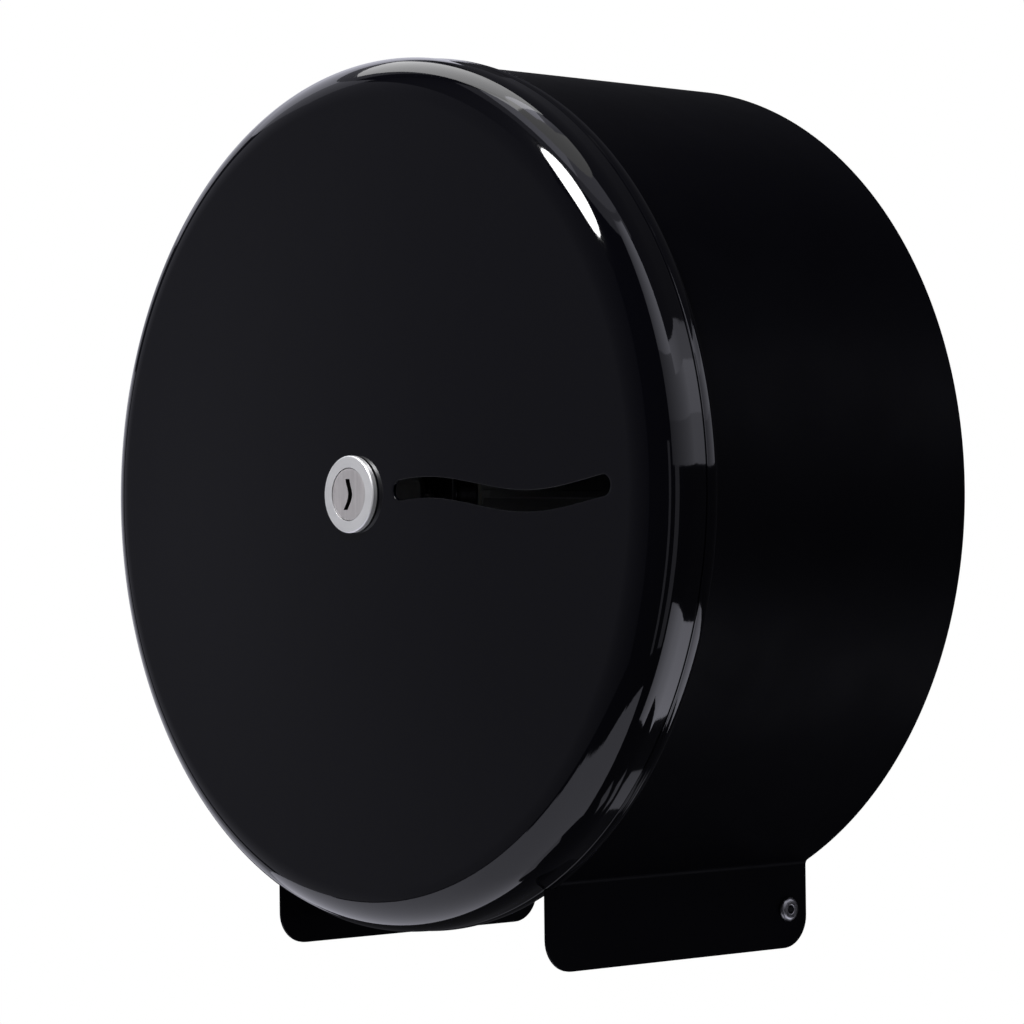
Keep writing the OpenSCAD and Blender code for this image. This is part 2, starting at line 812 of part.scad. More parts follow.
// A tab bent inwards from the band's front edge, with a stud hole
module tab_shape() {
    corner = 3;
    difference() {
        union() {
            translate([-tab_w / 2, tab_in_r + corner]) square([tab_w, band_in_r - tab_in_r - corner + band_t / 2]);
            translate([0, tab_in_r + corner]) square([tab_w - 2 * corner, 2 * corner], center = true);
            for (side = [-1, 1])
                translate([side * (tab_w / 2 - corner), tab_in_r + corner]) circle(r = corner, $fn = small_fn);
        }
        translate([0, stud_ring_r]) circle(d = stud_d + stud_hole_play, $fn = small_fn);
    }
}

module drum_band() {
    color(satin_black) hang() {
        difference() {
            intersection() {
                linear_extrude(band_front) bent_sheet();
                side_view(-case_r, case_d) sheet_side();
            }
            translate([-far / 2, pivot_y, pivot_out]) rotate([0, 90, 0])
                cylinder(r = pivot_r + pivot_play, h = far, $fn = small_fn);
        }
        for (i = [0 : tab_count - 1])
            rotate([0, 0, (i - (tab_count - 1) / 2) * tab_step])
                translate([0, 0, tab_back]) linear_extrude(band_t) tab_shape();
    }
}

module cover_studs() {
    color(zinc) hang() at_studs() {
        translate([0, 0, band_front]) cylinder(d = stud_shoulder_d, h = face_in - band_front, $fn = small_fn);
        translate([0, 0, band_front - stud_len]) cylinder(d = stud_d, h = stud_len, $fn = small_fn);
    }
}

module stud_washers() {
    t = stud_d * 0.2;
    color(zinc) hang() at_studs() ring(tab_back - t, t, stud_d * 1.1, stud_d / 2 + seat);
}

module stud_nuts() {
    washer_t = stud_d * 0.2;
    t = stud_d * 0.8;
    color(zinc) hang() at_studs() hex_nut(tab_back - washer_t - t, t, stud_d * 1.75, stud_d / 2 + seat);
}

module lock_gasket() {
    color(rubber_black) hang() translate([0, 0, face_out]) linear_extrude(gasket_t) difference() {
        circle(d = gasket_d);
        two_flats(barrel_d / 2 + seat, barrel_flats + 2 * seat);
    }
}

module lock_body() {
    r = bezel_d / 2;
    color(chrome) hang() difference() {
        union() {
            translate([0, 0, barrel_end]) linear_extrude(barrel_len) two_flats(barrel_d / 2, barrel_flats);
            rotate_extrude() polygon([
                [0, gasket_out], [r, gasket_out], [r, bezel_face - bezel_chamfer],
                [r - bezel_chamfer, bezel_face], [0, bezel_face]
            ]);
        }
        translate([0, 0, barrel_end - cut]) cylinder(r = plug_r + plug_play, h = far);
    }
}

module lock_tooth_washer() {
    teeth = 20;
    r = bezel_d / 2;
    color(zinc) hang() translate([0, 0, face_in - tooth_washer_t]) linear_extrude(tooth_washer_t) difference() {
        union() {
            circle(r = r);
            for (i = [0 : teeth - 1])
                rotate([0, 0, 360 / teeth * i]) translate([r - 0.5, -0.7]) square([1.7, 1.4]);
        }
        circle(r = barrel_d / 2 + seat);
    }
}

module lock_nut() {
    color(zinc) hang()
        hex_nut(face_in - tooth_washer_t - lock_nut_t, lock_nut_t, lock_nut_flats, barrel_d / 2 + seat);
}

// The keyway, seen from the front: one wave from end to end
module keyway() {
    steps = 16;
    ys = [for (i = [0 : steps]) -key_h / 2 + key_h * i / steps];
    xs = [for (y = ys) -key_wave * sin(360 * y / key_h)];
    polygon(concat([for (i = [0 : steps]) [xs[i] - key_w / 2, ys[i]]],
                   [for (i = [steps : -1 : 0]) [xs[i] + key_w / 2, ys[i]]]));
}

module lock_plug() {
    face = bezel_face - plug_recess;
    tang_back = cam_back + 0.2;
    color(chrome) hang() difference() {
        union() {
            translate([0, 0, cam_front]) cylinder(r = plug_r, h = face - cam_front);
            translate([0, 0, (tang_back + cam_front) / 2 + 0.5])
                cube([tang_w, tang_w, cam_front - tang_back + 1], center = true);
        }
        translate([0, 0, face - key_depth]) linear_extrude(far) keyway();
        translate([0, 0, tang_back - cut]) cylinder(r = cam_screw_d / 2 + seat, h = 6 + cut, $fn = small_fn);
    }
}

// The cam points left while the casing is free and up when it is locked
module lock_cam() {
    end_r = 2.5;
    hub_r = 8.5;
    color(zinc) hang() translate([0, 0, cam_back]) linear_extrude(cam_t) difference() {
        union() {
            circle(r = hub_r);
            translate([-cam_reach + end_r, -cam_w / 2]) square([cam_reach - end_r, cam_w]);
            translate([-cam_reach, -cam_w / 2 + end_r]) square([cam_reach, cam_w - 2 * end_r]);
            for (side = [-1, 1])
                translate([-cam_reach + end_r, side * (cam_w / 2 - end_r)]) circle(r = end_r, $fn = small_fn);
        }
        square(tang_w + 2 * tang_play, center = true);
    }
}

module cam_washer() {
    color(zinc) hang() ring(cam_back - cam_washer_t, cam_washer_t, cam_screw_d * 1.4, cam_screw_d / 2 + seat);
}

module cam_screw() {
    head_back = cam_screw_back;
    slot_d = cam_screw_head_h * 0.65;
    color(zinc) hang() difference() {
        union() {
            translate([0, 0, head_back + cam_screw_head_h])
                cylinder(r = cam_screw_d / 2, h = cam_washer_t + cam_t + 4, $fn = small_fn);
            translate([0, 0, head_back + cam_screw_head_h / 2])
                cylinder(r = cam_screw_head_r, h = cam_screw_head_h / 2, $fn = small_fn);
            translate([0, 0, head_back + cam_screw_head_h / 2]) mirror([0, 0, 1])
                dome(cam_screw_head_r, cam_screw_head_h / 2);
        }
        translate([0, 0, head_back]) cube([far, cam_screw_d * 0.25, 2 * slot_d], center = true);
    }
}

back_plate();
spindle_foot();
foot_rivets();
spindle_tube();
nose_plug();
thrust_washer();
retaining_ring();
keeper_hook();
keeper_screw();
pivot_rivet_left();
pivot_rivet_right();
pivot_washers();
hub_sleeve();
rear_bush();
front_bush();
front_cover();
drum_band();
cover_studs();
stud_washers();
stud_nuts();
lock_gasket();
lock_body();
lock_tooth_washer();
lock_nut();
lock_plug();
lock_cam();
cam_washer();
cam_screw();
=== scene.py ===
import bpy
import bmesh
import json
import math
from mathutils import Matrix, Vector

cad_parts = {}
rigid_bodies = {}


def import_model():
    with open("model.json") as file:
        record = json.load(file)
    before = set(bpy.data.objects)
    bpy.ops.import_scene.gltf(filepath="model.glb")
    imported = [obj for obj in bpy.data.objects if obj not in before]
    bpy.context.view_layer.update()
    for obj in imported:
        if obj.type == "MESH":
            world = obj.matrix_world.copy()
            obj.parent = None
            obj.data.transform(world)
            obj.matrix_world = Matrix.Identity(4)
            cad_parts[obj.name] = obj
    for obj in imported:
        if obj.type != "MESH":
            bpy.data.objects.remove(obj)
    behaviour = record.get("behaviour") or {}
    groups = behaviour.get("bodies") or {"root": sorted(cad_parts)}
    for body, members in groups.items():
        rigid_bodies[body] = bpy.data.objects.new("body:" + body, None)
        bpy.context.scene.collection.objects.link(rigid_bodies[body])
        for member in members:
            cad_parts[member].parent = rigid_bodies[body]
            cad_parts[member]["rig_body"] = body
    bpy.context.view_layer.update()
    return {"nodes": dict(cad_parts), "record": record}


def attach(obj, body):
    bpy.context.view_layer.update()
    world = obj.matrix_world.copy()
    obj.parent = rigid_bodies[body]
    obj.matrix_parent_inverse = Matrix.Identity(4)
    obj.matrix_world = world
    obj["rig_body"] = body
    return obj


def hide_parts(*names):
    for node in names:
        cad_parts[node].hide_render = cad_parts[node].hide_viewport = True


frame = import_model()
cadNodes = frame["nodes"]
mm = 0.001
print("frame loaded:", len(cadNodes), "nodes")

# Camera at the photograph's place
camera = {
    "place": (0.86239, -0.82806, -0.02452),
    "right": (0.66083, 0.75045, -0.01190),
    "up": (0.02043, -0.00214, 0.99979),
    "back": (0.75026, -0.66093, -0.01675),
    "lens": 126.6,
    "sensor": 36,
    "near": 0.05,
    "far": 50,
}


def makeCamera():
    data = bpy.data.cameras.new("photoCamera")
    data.sensor_width = camera["sensor"]
    data.lens = camera["lens"]
    data.clip_start = camera["near"]
    data.clip_end = camera["far"]
    view = bpy.data.objects.new("photoCamera", data)
    turned = Matrix((camera["right"], camera["up"], camera["back"])).transposed().to_4x4()
    view.matrix_world = Matrix.Translation(camera["place"]) @ turned
    bpy.context.scene.collection.objects.link(view)
    bpy.context.scene.camera = view


makeCamera()
bpy.context.scene.view_settings.view_transform = "Standard"
print("camera ready")

# Directions of the studio are (azimuth, elevation) in degrees: 0 is the dispenser's front, + its right
studio = {
    "ambient": 0.3,
    "tentRadius": 3.0,
    "tentSegments": (288, 144),
    "tentTint": (0.98, 0.98, 1.12),
    "floorDrop": 0.6,
    "floorRadius": 2.2,
    "floorSegments": 96,
    "floorColour": (0.8, 0.8, 0.8, 1),
    "floorGlow": 0.55,
    "octabox": {"azimuth": 5, "elevation": 47.5, "away": 1.6, "size": 0.57, "level": 34},
    "leftPanel": {"azimuth": -95, "elevation": 62, "away": 1.9, "size": (0.95, 1.35), "level": 2.3},
    "outletFlag": {"size": (0.125, 0.128), "turn": 0, "place": (0, -0.067, -0.1365)},
    "rearFlag": {"size": (0.26, 0.18), "turn": 90, "place": (0, 0.0006, 0)},
}
# Cloths and cards that the gloss sees: azimuth from, to, elevation from, to, brightness at both ends.
# A seventh value is the upper edge's elevation at the far end of a card that slants. A later row covers
# an earlier one, and None leaves the white room open.
studioCards = [
    (-180, 180, -90, 90, 0.03, 0.03),
    (100, 180, 30, 75, 0.07, 0.07),
    (-180, -125, 30, 75, 0.07, 0.07),
    (-120, -70, 37.5, 75, 0.25, 0.25),
    (-75, -45, -25, 35, 0.27, 0.135),
    (-45, 15, -25, 35, 0.135, 0.06),
    (-60, -15, 35, 57.5, 0.04, 0.12),
    (-60, 20, 57.5, 65, 0.25, 0.25),
    (20, 110, 57.5, 65, 0.35, 0.45),
    (-60, 25, 65, 75, 0.95, 1.35),
    (25, 110, 65, 75, 0.65, 0.65),
    (-130, -80, 25, 37.5, 1.1, 1.0),
    (-80, -62, 25, 37.5, 0.55, 0.4),
    (-130, -85, 15, 25, 0.85, 0.65),
    (-135, -90, 5, 15, 0.55, 0.4),
    (-112, -90, -27.5, 7.5, 0.7, 0.6),
    (-90, -80, -27.5, 7.5, 0.42, 0.36),
    (-105, -35, -77.5, -25, 1.25, 0.7, -26),
    (-35, -7.5, -77.5, -26, 0.7, 0.76, -30),
    (-7.5, 0, -77.5, -30, 0.76, 0.78, -35),
    (0, 7.5, -77.5, -35, 0.78, 0.78, -38.5),
    (7.5, 15, -77.5, -38.5, 0.78, 0.78, -41),
    (15, 65, -77.5, -41, 0.78, 0.78, -43),
    (-70, 15, -82.5, -77.5, 0.6, 0.6),
    (60, 65, -35, 10, 0.3, 0.3),
    (75, 85, -35, 5, 0.3, 0.3),
    (70, 102.5, 30, 62.5, 0.6, 1.8),
    (70, 145, 15, 30, 0.35, 1.4),
    (70, 145, 5, 15, 0.28, 1.05),
    (102.5, 140, 25, 32.5, 1.4, 0.7),
    (90, 115, -52.5, -25, 1.0, 1.7),
    (115, 150, -45, -25, 1.7, 1.85),
    (112.5, 142.5, -72.5, -67.5, 0.5, 0.5),
    (142.5, 165, -62.5, -57.5, 0.5, 0.5),
    (165, 180, -52.5, -47.5, 0.5, 0.5),
    (-140, -80, 75, 85, 2.2, 2.0),
    (-80, 180, 75, 85, None, None),
    (-180, -140, 75, 85, 0.5, 0.8),
    (-180, 180, 85, 90, None, None),
]


def towards(azimuth, elevation, away):
    a, e = math.radians(azimuth), math.radians(elevation)
    return Vector((math.sin(a) * math.cos(e), -math.cos(a) * math.cos(e), math.sin(e))) * away


def cardAt(azimuth, elevation):
    found = studioCards[0]
    for card in studioCards:
        share = (azimuth - card[0]) / (card[1] - card[0])
        top = card[3] + (card[-1] - card[3]) * share if len(card) > 6 else card[3]
        if 0 <= share <= 1 and card[2] <= elevation <= top:
            found = card
    return found


def shownRays(tree):
    path = tree.nodes.new("ShaderNodeLightPath")
    total = None
    for ray in ("Is Camera Ray", "Is Glossy Ray", "Is Transmission Ray"):
        if total is None:
            total = path.outputs[ray]
            continue
        larger = tree.nodes.new("ShaderNodeMath")
        larger.operation = "MAXIMUM"
        tree.links.new(total, larger.inputs[0])
        tree.links.new(path.outputs[ray], larger.inputs[1])
        total = larger.outputs[0]
    return total


def makeWorld():
    world = bpy.data.worlds.new("whiteRoom")
    world.use_nodes = True
    tree = world.node_tree
    tree.nodes.clear()
    dim = tree.nodes.new("ShaderNodeBackground")
    dim.inputs["Strength"].default_value = studio["ambient"]
    bright = tree.nodes.new("ShaderNodeBackground")
    for background in (dim, bright):
        background.inputs["Color"].default_value = (1, 1, 1, 1)
    mix = tree.nodes.new("ShaderNodeMixShader")
    output = tree.nodes.new("ShaderNodeOutputWorld")
    tree.links.new(shownRays(tree), mix.inputs[0])
    tree.links.new(dim.outputs[0], mix.inputs[1])
    tree.links.new(bright.outputs[0], mix.inputs[2])
    tree.links.new(mix.outputs[0], output.inputs[0])
    bpy.context.scene.world = world


def addObject(name, bm):
    mesh = bpy.data.meshes.new(name)
    bm.to_mesh(mesh)
    bm.free()
    made = bpy.data.objects.new(name, mesh)
    bpy.context.scene.collection.objects.link(made)
    return made


def emptyMaterial(name):
    material = bpy.data.materials.new(name)
    material.use_nodes = True
    material.node_tree.nodes.clear()
    return material


def makeFloor():
    bm = bmesh.new()
    bmesh.ops.create_circle(bm, cap_ends=True, segments=studio["floorSegments"], radius=studio["floorRadius"])
    bmesh.ops.translate(bm, verts=bm.verts, vec=(0, 0, -studio["floorDrop"]))
    floor = addObject("paleFloor", bm)
    material = emptyMaterial("paleFloor")
    tree = material.node_tree
    matt = tree.nodes.new("ShaderNodeBsdfDiffuse")
    matt.inputs["Color"].default_value = studio["floorColour"]
    glow = tree.nodes.new("ShaderNodeEmission")
    strength = tree.nodes.new("ShaderNodeMath")
    strength.operation = "MULTIPLY"
    strength.inputs[1].default_value = studio["floorGlow"]
    both = tree.nodes.new("ShaderNodeAddShader")
    output = tree.nodes.new("ShaderNodeOutputMaterial")
    tree.links.new(shownRays(tree), strength.inputs[0])
    tree.links.new(strength.outputs[0], glow.inputs["Strength"])
    tree.links.new(matt.outputs[0], both.inputs[0])
    tree.links.new(glow.outputs[0], both.inputs[1])
    tree.links.new(both.outputs[0], output.inputs[0])
    floor.data.materials.append(material)
    floor.visible_glossy = False


def makeTent():
    around, upwards = studio["tentSegments"]
    bm = bmesh.new()
    bmesh.ops.create_uvsphere(bm, u_segments=around, v_segments=upwards, radius=studio["tentRadius"])
    levels = bm.loops.layers.float_color.new("brightness")
    openings = []
    for face in bm.faces:
        middle = face.calc_center_median()
        azimuth = math.degrees(math.atan2(middle.x, -middle.y))
        elevation = math.degrees(math.asin(middle.z / middle.length))
        card = cardAt(azimuth, elevation)
        if card[4] is None:
            openings.append(face)
            continue
        for loop in face.loops:
            corner = math.degrees(math.atan2(loop.vert.co.x, -loop.vert.co.y))
            corner += 360 * round((azimuth - corner) / 360)
            share = min(max((corner - card[0]) / (card[1] - card[0]), 0), 1)
            level = card[4] + (card[5] - card[4]) * share
            loop[levels] = (*(level * tint for tint in studio["tentTint"]), 1)
    bmesh.ops.delete(bm, geom=openings, context="FACES")
    tent = addObject("studioTent", bm)
    material = emptyMaterial("studioTent")
    tree = material.node_tree
    painted = tree.nodes.new("ShaderNodeAttribute")
    painted.attribute_name = "brightness"
    glow = tree.nodes.new("ShaderNodeEmission")
    output = tree.nodes.new("ShaderNodeOutputMaterial")
    tree.links.new(painted.outputs["Color"], glow.inputs["Color"])
    tree.links.new(glow.outputs[0], output.inputs[0])
    material.cycles.emission_sampling = "NONE"
    tent.data.materials.append(material)
    tent.visible_camera = False
    tent.visible_diffuse = False
    tent.visible_shadow = False


# Black flags under the paper outlet and at the wall, unseen themselves, keep stray light out of the drum
def makeFlag(name):
    settings = studio[name]
    turn = Matrix.Rotation(math.radians(settings["turn"]), 3, "X")
    bm = bmesh.new()
    bmesh.ops.create_grid(bm, x_segments=1, y_segments=1, size=0.5)
    bmesh.ops.scale(bm, vec=(*settings["size"], 1), verts=bm.verts)
    bmesh.ops.rotate(bm, matrix=turn, verts=bm.verts)
    bmesh.ops.translate(bm, vec=settings["place"], verts=bm.verts)
    flag = addObject(name, bm)
    material = bpy.data.materials.new(name)
    material.use_nodes = True
    material.node_tree.nodes["Principled BSDF"].inputs["Base Color"].default_value = (0, 0, 0, 1)
    flag.data.materials.append(material)
    flag.visible_camera = False
    flag.visible_glossy = False


def makeLamp(name):
    lamp = studio[name]
    oblong = isinstance(lamp["size"], tuple)
    data = bpy.data.lights.new(name, "AREA")
    data.shape = "RECTANGLE" if oblong else "DISK"
    if oblong:
        data.size, data.size_y = lamp["size"]
        area = lamp["size"][0] * lamp["size"][1]
    else:
        data.size = lamp["size"]
        area = lamp["size"] * lamp["size"] * (math.pi / 4)
    data.energy = lamp["level"] * math.pi * area
    made = bpy.data.objects.new(name, data)
    place = towards(lamp["azimuth"], lamp["elevation"], lamp["away"])
    made.matrix_world = Matrix.Translation(place) @ place.to_track_quat("Z", "Y").to_matrix().to_4x4()
    bpy.context.scene.collection.objects.link(made)


makeWorld()
makeFloor()
makeTent()
for flagName in ("outletFlag", "rearFlag"):
    makeFlag(flagName)
for lampName in ("octabox", "leftPanel"):
    makeLamp(lampName)
print("studio ready")


# Finishes, all on Object coordinates. "marks" (or "circles", turned round the drum's axis) colour the surface
# between two tones, "mottle" makes the gloss uneven, and each bump is a pattern with its strength and depth.
# A pattern is scale, detail and, where it is drawn out, its stretch. Without one of its own, gloss or bump
# follows the marks. "shade" is painted shade: it darkens the colour behind a distance from the wall: out, depth,
# rest.
noiseSpan = (0.3, 0.7)
finishLooks = {
    # One clear hard skin with a trace of orange peel and of the sheet's own unevenness
    "gloss_black": {
        "name": "glossEnamel", "shader": {"IOR": 1.5},
        "marks": (7, 3), "tones": ((0.0004, 0.0004, 0.0012), (0.0008, 0.0008, 0.0018)),
        "mottle": (16, 5), "roughness": (0.03, 0.055),
        "bumps": (((60, 1), 0.7, 0.00004), ((520, 1), 0.35, 0.000012)),
    },
    # Powder coat: fine pebbled skin, a little uneven in gloss
    "satin_black": {
        "name": "satinPowder", "shader": {"IOR": 1.5, "Specular IOR Level": 0.04},
        "marks": (24, 4), "tones": ((0.0004, 0.0004, 0.0012), (0.0009, 0.0009, 0.0018)),
        "mottle": (40, 6), "roughness": (0.42, 0.52),
        "bumps": (((1700, 2), 0.6, 0.00002),),
    },
    # Zinc: faintly blue and yellow clouds over a fine grain
    "zinc_plate": {
        "name": "brightZinc", "shader": {"Metallic": 1.0},
        "marks": (90, 4), "tones": ((0.50, 0.52, 0.57), (0.68, 0.67, 0.64)),
        "mottle": (70, 6), "roughness": (0.22, 0.40),
        "bumps": (((900, 3), 0.5, 0.00002),),
    },
    # Drawn and polished tube: hair lines round it
    "polished_tube": {
        "name": "polishedTube", "shader": {"Metallic": 1.0},
        "marks": (2600, 4, (0.01, 1, 0.01)), "tones": ((0.60, 0.60, 0.61), (0.69, 0.69, 0.70)),
        "roughness": (0.14, 0.28),
        "bumps": ((None, 0.4, 0.000004),),
    },
    "spring_steel": {
        "name": "oiledSpringSteel", "shader": {"Metallic": 1.0},
        "marks": (160, 4), "tones": ((0.20, 0.20, 0.22), (0.34, 0.33, 0.33)),
        "mottle": (220, 5), "roughness": (0.28, 0.45),
        "bumps": (((1500, 2), 0.4, 0.00001),),
    },
    # Dark nickel plating on the pivot rivets, half gloss
    "dark_rivet": {
        "name": "darkNickel", "shader": {"Metallic": 1.0},
        "marks": (300, 3), "tones": ((0.24, 0.24, 0.25), (0.32, 0.32, 0.33)),
        "mottle": (500, 4), "roughness": (0.26, 0.34),
        "bumps": (((1200, 2), 0.3, 0.000006),),
    },
    # Satin chrome of the lock's bezel and barrel: spun, with hair-fine circles
    "lock_chrome": {
        "name": "satinChrome", "shader": {"Metallic": 0.7},
        "circles": 5200, "tones": ((0.84, 0.84, 0.86), (0.92, 0.92, 0.93)),
        "mottle": (240, 5), "roughness": (0.38, 0.48),
        "bumps": ((None, 0.5, 0.000006),),
    },
    # The plug is die-cast and only brushed, so it is duller and warmer than the bezel. Its keyway gets painted
    # shade: behind the face the colour falls nearly to black.
    "plug_face": {
        "name": "brushedPlug", "shader": {"Metallic": 0.7},
        "marks": (900, 5, (1, 1, 0.06)), "tones": ((0.57, 0.546, 0.556), (0.68, 0.652, 0.662)),
        "shade": (135.0, 0.12, 0.015),
        "mottle": (600, 6), "roughness": (0.40, 0.52),
        "bumps": ((None, 0.5, 0.00001),),
    },
    "black_rubber": {
        "name": "blackRubber", "shader": {"IOR": 1.45},
        "marks": (200, 4), "tones": ((0.010, 0.010, 0.010), (0.018, 0.018, 0.018)),
        "mottle": (400, 4), "roughness": (0.62, 0.80),
        "bumps": (((2400, 2), 0.5, 0.00002),),
    },
    "nylon": {
        "name": "naturalNylon", "shader": {"IOR": 1.53, "Subsurface Weight": 0.08, "Subsurface Scale": 0.002},
        "marks": (60, 3), "tones": ((0.70, 0.68, 0.62), (0.78, 0.77, 0.72)),
        "mottle": (300, 4), "roughness": (0.38, 0.52),
        "bumps": (((1800, 2), 0.4, 0.00001),),
    },
    # Moulded grey plastic: faint flow marks along the draw and a fine spark-eroded texture
    "hub_plastic": {
        "name": "mouldedGrey", "shader": {"IOR": 1.49},
        "marks": (40, 4, (1, 0.25, 1)), "tones": ((0.38, 0.39, 0.40), (0.44, 0.45, 0.465)),
        "mottle": (120, 5), "roughness": (0.42, 0.56),
        "bumps": (((1500, 2), 0.5, 0.00003),),
    },
}


def grain(tree, scale, detail, stretch=(1, 1, 1)):
    place = tree.nodes.new("ShaderNodeTexCoord")
    mapping = tree.nodes.new("ShaderNodeMapping")
    mapping.inputs["Scale"].default_value = stretch
    noise = tree.nodes.new("ShaderNodeTexNoise")
    noise.inputs["Scale"].default_value = scale
    noise.inputs["Detail"].default_value = detail
    tree.links.new(place.outputs["Object"], mapping.inputs["Vector"])
    tree.links.new(mapping.outputs["Vector"], noise.inputs["Vector"])
    return noise.outputs[0]


# Fine circles round the drum's axis, as turning and spin brushing leave them
def turningMarks(tree, scale):
    place = tree.nodes.new("ShaderNodeTexCoord")
    flat = tree.nodes.new("ShaderNodeVectorMath")
    flat.operation = "MULTIPLY"
    flat.inputs[1].default_value = (1, 0, 1)
    radius = tree.nodes.new("ShaderNodeVectorMath")
    radius.operation = "LENGTH"
    noise = tree.nodes.new("ShaderNodeTexNoise")
    noise.noise_dimensions = "1D"
    noise.inputs["Scale"].default_value = scale
    noise.inputs["Detail"].default_value = 3.0
    tree.links.new(place.outputs["Object"], flat.inputs[0])
    tree.links.new(flat.outputs[0], radius.inputs[0])
    tree.links.new(radius.outputs["Value"], noise.inputs["W"])
    return noise.outputs[0]


def spread(tree, value, low, high, outLow, outHigh):
    mapped = tree.nodes.new("ShaderNodeMapRange")
    for socket, number in zip(("From Min", "From Max", "To Min", "To Max"), (low, high, outLow, outHigh)):
        mapped.inputs[socket].default_value = number
    tree.links.new(value, mapped.inputs["Value"])
    return mapped.outputs[0]


def blendColours(tree, value, tones):
    ramp = tree.nodes.new("ShaderNodeValToRGB")
    for stop, position, tone in zip(ramp.color_ramp.elements, noiseSpan, tones):
        stop.position = position
        stop.color = (*tone, 1)
    tree.links.new(value, ramp.inputs[0])
    return ramp.outputs[0]


# Painted shade: behind a distance from the wall the colour is scaled down to a small share, as in the plug's keyway
def paintShadeBehind(tree, colour, out, depth, rest):
    place = tree.nodes.new("ShaderNodeTexCoord")
    parts = tree.nodes.new("ShaderNodeSeparateXYZ")
    tree.links.new(place.outputs["Object"], parts.inputs[0])
    kept = spread(tree, parts.outputs["Y"], -out * mm, -(out - depth) * mm, 1, rest)
    scaled = tree.nodes.new("ShaderNodeVectorMath")
    scaled.operation = "SCALE"
    tree.links.new(colour, scaled.inputs[0])
    tree.links.new(kept, scaled.inputs["Scale"])
    return scaled.outputs[0]


def raiseSurface(tree, shader, height, strength, distance):
    bump = tree.nodes.new("ShaderNodeBump")
    bump.inputs["Strength"].default_value = strength
    bump.inputs["Distance"].default_value = distance
    tree.links.new(height, bump.inputs["Height"])
    if shader.inputs["Normal"].is_linked:
        tree.links.new(shader.inputs["Normal"].links[0].from_socket, bump.inputs["Normal"])
    tree.links.new(bump.outputs[0], shader.inputs["Normal"])


def makeFinish(look):
    material = bpy.data.materials.new(look["name"])
    material.use_nodes = True
    tree = material.node_tree
    shader = tree.nodes["Principled BSDF"]
    for socket, value in look["shader"].items():
        shader.inputs[socket].default_value = value
    marks = turningMarks(tree, look["circles"]) if "circles" in look else grain(tree, *look["marks"])
    colour = blendColours(tree, marks, look["tones"])
    # Painted shade where the look asks for it, darkening the plug's keyway
    if "shade" in look:
        colour = paintShadeBehind(tree, colour, *look["shade"])
    tree.links.new(colour, shader.inputs["Base Color"])
    mottle = grain(tree, *look["mottle"]) if "mottle" in look else marks
    tree.links.new(spread(tree, mottle, *noiseSpan, *look["roughness"]), shader.inputs["Roughness"])
    for pattern, strength, distance in look["bumps"]:
        raiseSurface(tree, shader, grain(tree, *pattern) if pattern else marks, strength, distance)
    return material


finishes = {slotName: makeFinish(look) for slotName, look in finishLooks.items()}
print("finishes ready:", len(finishes))


# A turned piece. Its section is a list of (radius, out) or (radius, out, rounding, segments) in mm, and the
# side that starts at corner number openSide stays open. The axis is the drum's.
def turnedShape(section, steps, openSide=None):
    bm = bmesh.new()
    verts = [bm.verts.new((corner[0] * mm, -corner[1] * mm, 0)) for corner in section]
    bm.faces.new(verts)
    if openSide is not None:
        gap = [verts[openSide], verts[(openSide + 1) % len(verts)]]
    for vert, corner in zip(verts, section):
        if len(corner) == 4:
            bmesh.ops.bevel(bm, geom=[vert], offset=corner[2] * mm, offset_type="ABSOLUTE",
                            segments=corner[3], profile=0.5, affect="VERTICES", material=-1)
    bmesh.ops.delete(bm, geom=bm.faces[:], context="FACES_ONLY")
    for edge in bm.edges[:]:
        onAxis = all(abs(vert.co.x) < 1e-7 for vert in edge.verts)
        if onAxis or (openSide is not None and all(vert in gap for vert in edge.verts)):
            bm.edges.remove(edge)
    bmesh.ops.spin(bm, geom=bm.verts[:] + bm.edges[:], cent=(0, 0, 0), axis=(0, 1, 0), dvec=(0, 0, 0),
                   angle=2 * math.pi, steps=steps, use_merge=True, use_duplicate=False)
    bmesh.ops.remove_doubles(bm, verts=bm.verts, dist=1e-7)
    return bm


# The open edges at a distance from the wall that lie between two radii
def loopAt(bm, out, low, high):
    found = []
    for edge in bm.edges:
        if edge.is_boundary or edge.is_wire:
            radii = [math.hypot(vert.co.x, vert.co.z) / mm for vert in edge.verts]
            level = all(abs(vert.co.y + out * mm) < 1e-6 for vert in edge.verts)
            if level and low < min(radii) and max(radii) < high:
                found.append(edge)
    return found


def finishPiece(name, bm, node, edge=None, smoothAngle=32, thickness=None, finish=None):
    slotName = next(row["material_slot"] for row in frame["record"]["subparts"] if row["node"] == node)
    piece = addObject(name, bm)
    piece.data.materials.append(finishes[finish or slotName])
    piece.data.shade_smooth()
    piece.data.set_sharp_from_angle(angle=math.radians(smoothAngle))
    if thickness:
        solid = piece.modifiers.new("sheet", "SOLIDIFY")
        solid.thickness = thickness * mm
        solid.offset = -1
        solid.use_even_offset = True
    if edge:
        bevel = piece.modifiers.new("softEdges", "BEVEL")
        bevel.width = edge * mm
        bevel.segments = 2
        bevel.limit_method = "ANGLE"
        bevel.angle_limit = math.radians(smoothAngle)
    normals = piece.modifiers.new("evenNormals", "WEIGHTED_NORMAL")
    normals.keep_sharp = True
    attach(piece, cadNodes[node]["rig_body"])
    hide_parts(node)


